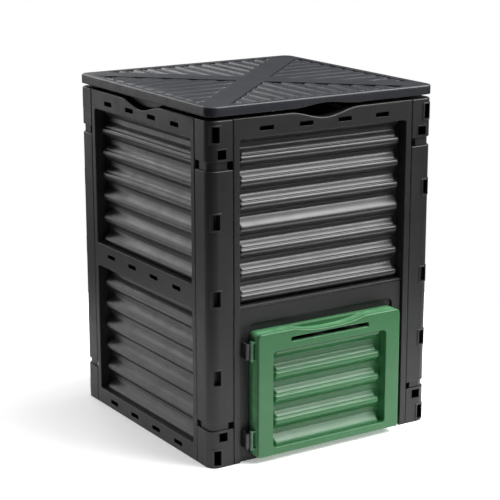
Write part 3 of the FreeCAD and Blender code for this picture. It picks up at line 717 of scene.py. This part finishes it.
def door_clip(name, z0, z1):
    outer, inner = clip_plan()
    pts = [(x + DH_X, y + DH_Y) for x, y in outer + inner]
    h = z1 - z0
    prof = edge_in(0.6, 2, 0.0)[1:] + edge_out(0.6, h)
    v, f = shell([(pts, prof)])
    jaw = make(name, upright(v, z1), f)
    nose_pts = arc(DH_X - 11.0, DH_Y + 1.0, 4.5, 0, 348, 29)
    v, f = shell([(nose_pts, edge_in(1.3, 3, 0.0)[1:] + edge_out(1.3, h, 3))])
    nose = make("nose", upright(v, z1), f)
    bore = make("bore", *(lambda r: (upright(r[0], z1 + 2), r[1]))(shell([(arc(DH_X, DH_Y, 4.08, 0, 348, 29), [(0, 0), (0, h + 4)])])))
    boolean(nose, [bore])
    web = block("web", DH_X - 13.0, DH_X - 9.0, DH_Y + 1.0, -290.4, z0, z1, 0.6, 0.5)
    foot = block("foot", DH_X - 15.3, DH_X - 5.6, -293.3, -290.4, z0, z1, 0.5, 0.5)
    boolean(jaw, [nose], "UNION")
    boolean(jaw, [web], "UNION")
    boolean(jaw, [foot], "UNION")
    return jaw


for nm, (z0, z1) in (("lower", DH_Z[0]), ("upper", DH_Z[1])):
    finish_piece(door_clip("clip", z0, z1), "moulded_door_hinge_clip_" + nm, "bin", M_CLIP, ["door_hinge_clip_" + nm], 40.0)


# ------------------------------------------------------------------ door
YF = -333.0
DOOR_U, DOOR_Z = 195.5, (14.0, 304.0)


def door_outline():
    """door outline with the shallow dip in the middle of its top edge"""
    r, q = 11.0, 4.0
    n = 44
    z1 = DOOR_Z[1]
    top = [(-1.0 + t, z1 - 11.0 * (1 - (abs(t) / 97.0) ** 2.5)) for t in [97.0 - 194.0 * i / n for i in range(n + 1)]]
    return arc(DOOR_U - q, DOOR_Z[0] + q, q, -90, 0, 5) + arc(DOOR_U - r, z1 - r, r, 0, 90, 8) + top \
        + arc(-DOOR_U + r, z1 - r, r, 90, 180, 8) + arc(-DOOR_U + q, DOOR_Z[0] + q, q, 180, 270, 5)


front_rim = edge_in(2.4, 5, 1.0) + [(0.0, 8.6), (0.3, 9.0), (2.4, 9.0), (2.6, 8.7), (2.6, 2.6)]
win = hole(rrect(-156.5, 156.5, 31.5, 259.0, 9.0, 7))
grip = hole(rrect(-109.0, 106.5, 275.0, 286.3, 4.6, 6))
loops = [(door_outline(), front_rim),
         (win, edge_in(2.0, 5, 0.6) + [(0.0, 26.6), (0.4, 27.0), (2.4, 27.0), (2.6, 26.7), (2.6, 2.6)]),
         (grip, edge_in(1.7, 4, 0.6) + [(0.0, 12.6), (0.3, 13.0), (1.8, 13.0), (2.35, 12.7), (2.35, 2.6)])]
v, f = shell(loops)
door = make("door", on_wall(v, 0.0, YF), f)
# rim behind the face: with the dip as far as its recess goes, then straight across
dip = door_outline()
v, f = shell([(dip, [(0.5, 0.0), (0.2, 0.3), (0.2, 20.6)]), (hole([tuple(t) for t in shrink(dip, 2.6)]), [(0.0, 0.0), (0.0, 20.6)])])
v[:, 2] += 7.4
mid = make("mid", on_wall(v, 0.0, YF), f)
rear_out = rrect(-DOOR_U, DOOR_U, DOOR_Z[0], DOOR_Z[1], [4.0, 11.0, 11.0, 4.0], [5, 8, 8, 5])
v, f = shell([(rear_out, edge_in(1.0, 3, 0.5) + edge_out(0.8, 14.0, 2, 0.3)),
              (hole(rrect(-DOOR_U + 2.6, DOOR_U - 2.6, DOOR_Z[0] + 2.6, DOOR_Z[1] - 2.6, [2.0, 8.6, 8.6, 2.0], [4, 8, 8, 4])), [(0.0, 0.0), (0.0, 13.6), (0.4, 14.0)])])
v[:, 2] += 27.0
rear = make("rear", on_wall(v, 0.0, YF), f)
parts = [door, mid, rear]
# step at the back of the recess
parts.append(slab("step", -101.0, 99.0, 289.0, 303.4, 27.2, 29.4, 1.0, 0.6, 0.0, 2))
parts[-1].data.transform(Matrix.Translation((0, YF + HALF, 0)))
# lip under the grip slot
lip = slab("lip", -112.0, 109.5, 272.4, 275.2, -0.4, 8.0, 1.3, 0.7, 0.0, 3)
lip.data.transform(Matrix.Translation((0, YF + HALF + 0.45, 0)))
parts.append(lip)
# hinge bars and ears
for z0, z1 in DH_Z:
    parts.append(rod("bar", (DH_X, DH_Y, z0 - 5.4), (DH_X, DH_Y, z1 + 5.4), 4.0, 24, 0.6))
    for e0, e1 in ((z0 - 5.4, z0 - 0.4), (z1 + 0.4, z1 + 5.4)):
        parts.append(block("ear", DH_X, -DOOR_U + 1.0, DH_Y - 3.9, DH_Y + 3.9, e0, e1, 0.4, 0.8))
finish_piece(joined("door", parts), "moulded_door_shell", "door", M_GREEN, ["door_shell"], 36.0)
v, f = rib_sheet("door_ribs", 156.5, 31.5, 259.0, (203.0, 56.0, 4), {-1, 0, 1, 2}, 149.0, 9.0, 27.1, 9.0, 7.0, 0.8)
finish_piece(make_grid("dr", on_wall(v, 0.0, YF), f), "moulded_door_rib_panel", "door", M_GREEN, ["door_rib_panel"], 55.0, False)


# ------------------------------------------------------------------ lid
L, Z1 = 304.0, 817.0
S, B = L - 16.0, 31.0 * math.sqrt(2)
FIELD, UNDER = 812.2, 810.0


def tri(off=0.0, r=3.0):
    """triangular sector facing the front, anticlockwise, with rounded corners"""
    a = S - B
    P = [(-a, -S), (a, -S), (0.0, -B)]
    out = []
    for i in range(3):
        p, q, s = Vector(P[i - 1]), Vector(P[i]), Vector(P[(i + 1) % 3])
        u, w_ = (p - q).normalized(), (s - q).normalized()
        ang = u.angle(w_)
        t = r / math.tan(ang / 2)
        c = q + (u + w_).normalized() * (r / math.sin(ang / 2))
        a0, a1 = q + u * t, q + w_ * t
        s0, s1 = math.atan2(a0.y - c.y, a0.x - c.x), math.atan2(a1.y - c.y, a1.x - c.x)
        while s1 < s0:
            s1 += 2 * pi
        out += [(c.x + r * math.cos(s0 + (s1 - s0) * k / 5), c.y + r * math.sin(s0 + (s1 - s0) * k / 5)) for k in range(6)]
    return out


outer = split(rrect(-L, L, -L, L, 24.0, 12), 7.0)
SKIRT = edge_in(4.0, 6, 1.5) + [(0.0, 9.0), (0.0, 19.0), (0.0, 20.6), (0.5, 21.4), (1.0, 21.5), (2.0, 21.5), (2.6, 21.0), (2.6, 9.0), (2.6, 7.0)]
loops = [(outer, SKIRT)]
for deg in (0, 90, 180, 270):
    t = turned([(x, y, 0) for x, y in tri()], deg)
    loops.append((hole([(float(x), float(y)) for x, y, _ in t]), edge_in(0.9, 3, 0.8) + [(0.0, 3.0), (0.0, 7.0)]))
v, f = shell(loops)
v = upright(v, Z1)
# finger notch in the front skirt
low = (v[:, 1] < -L + 6) & (v[:, 2] < Z1 - 15)
lift = np.array([bell(x, 85.0, 7.0) for x in v[:, 0]])
share = np.clip((Z1 - 12 - v[:, 2]) / 9.5, 0, 1)
v[:, 2] += np.where(low, lift * share, 0.0)
lid = make("lid", v, f)
lid_parts = [lid]


def sector(kind, seed):
    """ribbed field of one triangle of the lid, from the flat border in to the diagonal bands"""
    pitch = 39.0 if kind == "y" else 46.5
    step = pitch / 20.0
    a = S - B
    cols = int(a / step)
    us = np.arange(-cols, cols + 1) * step
    near = np.array([-1.2, 0.0, 0.8, 2.0, 3.4, 5.0, 7.0])
    far = np.array([-9.5, -7.0, -5.0, -3.6, -2.4, -1.2, 0.0, 1.2])
    V_, idx = [], []
    rows = len(near) + 8 + len(far)
    for ci, u in enumerate(us):
        ln = max(a - abs(u), 0.6)
        k = min(1.0, ln / 22.0)
        d = np.concatenate([near * k, np.linspace(near[-1] * k, ln + far[0] * k, 10)[1:-1], ln + far * k])
        ph = (u / pitch + 0.5) % 1.0 - 0.5
        t = abs(ph) * pitch
        if kind == "y":
            main = 4.2 * math.sqrt(max(0.0, 1 - (t / 11.0) ** 2.4))
            t2 = pitch / 2 - t
            sec_ = 1.9 * math.sqrt(max(0.0, 1 - (t2 / 5.0) ** 2.2))
            r_ = max(main, sec_)
        else:
            main = 4.0 * math.sqrt(max(0.0, 1 - (t / 19.0) ** 4.0))
            groove = 1.1 * math.exp(-(t / 2.6) ** 2)
            t3 = abs(t - 11.5)
            r_ = max(main - groove - 0.5 * math.exp(-(t3 / 2.4) ** 2), 0.0)
        for dd in d:
            near_m = np.clip((dd - 3.2 * k) / (4.5 * k), 0, 1)
            far_m = np.clip((ln - dd - 1.6 * k) / (5.0 * k), 0, 1)
            m_ = (near_m * near_m * (3 - 2 * near_m)) * (far_m * far_m * (3 - 2 * far_m))
            h = r_ * m_
            if kind != "y" and t > pitch / 2 - 4.0 and 1.0 < ln - dd < 9.0 * k:
                h -= 1.5
            if kind == "y" and 10.5 < t < 14.5 and 1.0 < ln - dd < 7.0 * k:
                h -= 1.0
            # a fine bead along the bands
            if 1.0 <= (ln - dd) / k <= 3.0 and ln > 24:
                h += 1.1 if ci % 2 else 0.1
            V_.append((u, -S + dd, FIELD + h))
    V_ = np.array(V_)
    nc = len(us)
    m = nc * rows
    bot = V_.copy()
    bot[:, 2] = UNDER - 0.02
    allv = np.concatenate([V_, bot])
    g = np.arange(m).reshape(nc, rows)
    faces = []
    for off in (0, m):
        q = np.stack([g[:-1, :-1] + off, g[1:, :-1] + off, g[1:, 1:] + off, g[:-1, 1:] + off], -1).reshape(-1, 4)
        faces += [tuple(int(t) for t in r) for r in q]
    ring = list(g[:, 0]) + list(g[-1, 1:]) + list(g[-2::-1, -1]) + list(g[0, -2:0:-1])
    for i in range(len(ring)):
        p, q = int(ring[i]), int(ring[(i + 1) % len(ring)])
        faces.append((p, q, q + m, p + m))
    return allv, faces


for deg, kind in ((0, "y"), (90, "x"), (180, "y"), (270, "x")):
    v, f = sector(kind, deg)
    lid_parts.append(make_grid("sector", turned(v, deg), f))
# half-moon finger tabs inside the side skirts
for deg in (90, 270):
    R = (90.0 ** 2 + 21.0 ** 2) / 42.0
    a = math.degrees(math.asin(84.0 / R))
    seg = arc(0.0, 774.8 + R, R, -90 - a, -90 + a, 36) + [(84.0, 811.5), (-84.0, 811.5)]
    v, f = shell([(seg, edge_in(1.2, 4, 0.5) + edge_out(0.6, 2.8))])
    v[:, 2] += 20.0
    v = on_wall(v, 0.0, -L)
    lid_parts.append(make("tab", turned(v, deg), f))
# hinge ears and bars at the back
LH_Y, LH_Z = 316.0, 800.5
for xc in (-170.0, 170.0):
    x0, x1 = xc - 18.0, xc + 18.0
    lid_parts.append(rod("lbar", (x0 - 5.9, LH_Y, LH_Z), (x1 + 5.9, LH_Y, LH_Z), 4.0, 24, 0.6))
    for e0, e1 in ((x0 - 6.0, x0 - 0.4), (x1 + 0.4, x1 + 6.0)):
        lid_parts.append(rod("leye", (e0, LH_Y, LH_Z), (e1, LH_Y, LH_Z), 5.2, 24, 0.6))
        lid_parts.append(block("lear", e0, e1, L - 1.0, LH_Y, LH_Z - 4.5, LH_Z + 5.2, 0.4, 0.6))
finish_piece(joined("lid", lid_parts), "moulded_lid_shell", "lid", M_LID, ["lid_shell"], 48.0, False)

# ------------------------------------------------------------------ frame parts that stay as they are
for node, mat in (("lid_cross_stiffener", M_LID), ("lid_hinge_clip_left", M_CLIP), ("lid_hinge_clip_right", M_CLIP),
                  ("door_snap_catches", M_GREEN)):
    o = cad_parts[node]
    o.data.materials.clear()
    o.data.materials.append(mat)

# ------------------------------------------------------------------ floor
me = bpy.data.meshes.new("floor")
ring = [(1.15 * math.cos(2 * pi * i / 96), 1.15 * math.sin(2 * pi * i / 96), 0.0) for i in range(96)]
me.from_pydata(ring, [], [tuple(range(96))])
floor = bpy.data.objects.new("floor", me)
bpy.context.scene.collection.objects.link(floor)
fm = bpy.data.materials.new("floor_matte")
fm.use_nodes = True
fb = fm.node_tree.nodes["Principled BSDF"]
fb.inputs["Base Color"].default_value = (0.86, 0.86, 0.86, 1)
fb.inputs["Roughness"].default_value = 0.9
fb.inputs["Specular IOR Level"].default_value = 0.1
fb.inputs["Emission Color"].default_value = (1.0, 1.0, 1.0, 1)
fb.inputs["Emission Strength"].default_value = 0.30
me.materials.append(fm)

# ------------------------------------------------------------------ light
scene = bpy.context.scene
world = bpy.data.worlds.new("studio")
scene.world = world
world.use_nodes = True
nt = world.node_tree
nt.nodes.clear()
wo = nt.nodes.new("ShaderNodeOutputWorld")
lp = nt.nodes.new("ShaderNodeLightPath")
b_cam = nt.nodes.new("ShaderNodeBackground")
b_cam.inputs["Color"].default_value = (1, 1, 1, 1)
b_cam.inputs["Strength"].default_value = 1.0
b_env = nt.nodes.new("ShaderNodeBackground")
b_env.inputs["Color"].default_value = (1, 1, 1, 1)
wc = nt.nodes.new("ShaderNodeTexCoord")
ws = nt.nodes.new("ShaderNodeSeparateXYZ")
nt.links.new(wc.outputs["Generated"], ws.inputs["Vector"])
wr = nt.nodes.new("ShaderNodeMapRange")
wr.inputs["From Min"].default_value, wr.inputs["From Max"].default_value = -0.15, 0.35
wr.inputs["To Min"].default_value, wr.inputs["To Max"].default_value = 0.095, 0.16
nt.links.new(ws.outputs["Z"], wr.inputs["Value"])
nt.links.new(wr.outputs["Result"], b_env.inputs["Strength"])
mx = nt.nodes.new("ShaderNodeMixShader")
nt.links.new(lp.outputs["Is Camera Ray"], mx.inputs[0])
nt.links.new(b_env.outputs[0], mx.inputs[1])
nt.links.new(b_cam.outputs[0], mx.inputs[2])
nt.links.new(mx.outputs[0], wo.inputs["Surface"])


def softbox(name, az, el, dist, w, h, power, target=(0.0, 0.0, 0.42)):
    li = bpy.data.lights.new(name, "AREA")
    li.shape = "RECTANGLE"
    li.size, li.size_y, li.energy = w, h, power
    o = bpy.data.objects.new(name, li)
    scene.collection.objects.link(o)
    a, e = math.radians(az), math.radians(el)
    d = Vector((math.sin(a) * math.cos(e), -math.cos(a) * math.cos(e), math.sin(e)))
    o.location = Vector(target) + d * dist
    o.rotation_euler = d.to_track_quat("Z", "Y").to_euler()
    return o


softbox("top", 55.0, 50.0, 3.0, 3.0, 2.6, 270.0)
softbox("overhead", 0.0, 89.0, 3.4, 2.0, 2.0, 60.0)
softbox("back", -174.0, 31.0, 3.2, 2.4, 1.3, 40.0)
softbox("front_low", 35.0, 4.0, 4.2, 2.2, 0.8, 9.0)
softbox("back_left", -143.0, 6.0, 3.2, 1.8, 1.6, 15.0)

# ------------------------------------------------------------------ camera
az, el, roll, dist, tx, tz, fpx = -32.4688, 14.5065, -0.0572, 3.9291, -0.0059, 0.3998, 1623.568
a, e = math.radians(az), math.radians(el)
back = Vector((math.sin(a) * math.cos(e), -math.cos(a) * math.cos(e), math.sin(e)))
right = Vector((math.cos(a), math.sin(a), 0.0))
up = back.cross(right)
rr = math.radians(roll)
right2 = math.cos(rr) * right + math.sin(rr) * up
up2 = -math.sin(rr) * right + math.cos(rr) * up
loc = right * tx + Vector((0, YS * 0.001, tz)) + back * dist
cam = bpy.data.cameras.new("camera")
cam.sensor_width = 36.0
cam.lens = fpx * 36.0 / 500.0
cam.clip_end = 60.0
co = bpy.data.objects.new("camera", cam)
scene.collection.objects.link(co)
co.matrix_world = Matrix(((right2.x, up2.x, back.x, loc.x), (right2.y, up2.y, back.y, loc.y), (right2.z, up2.z, back.z, loc.z), (0, 0, 0, 1)))
scene.camera = co
scene.view_settings.view_transform = "Standard"
scene.view_settings.look = "None"
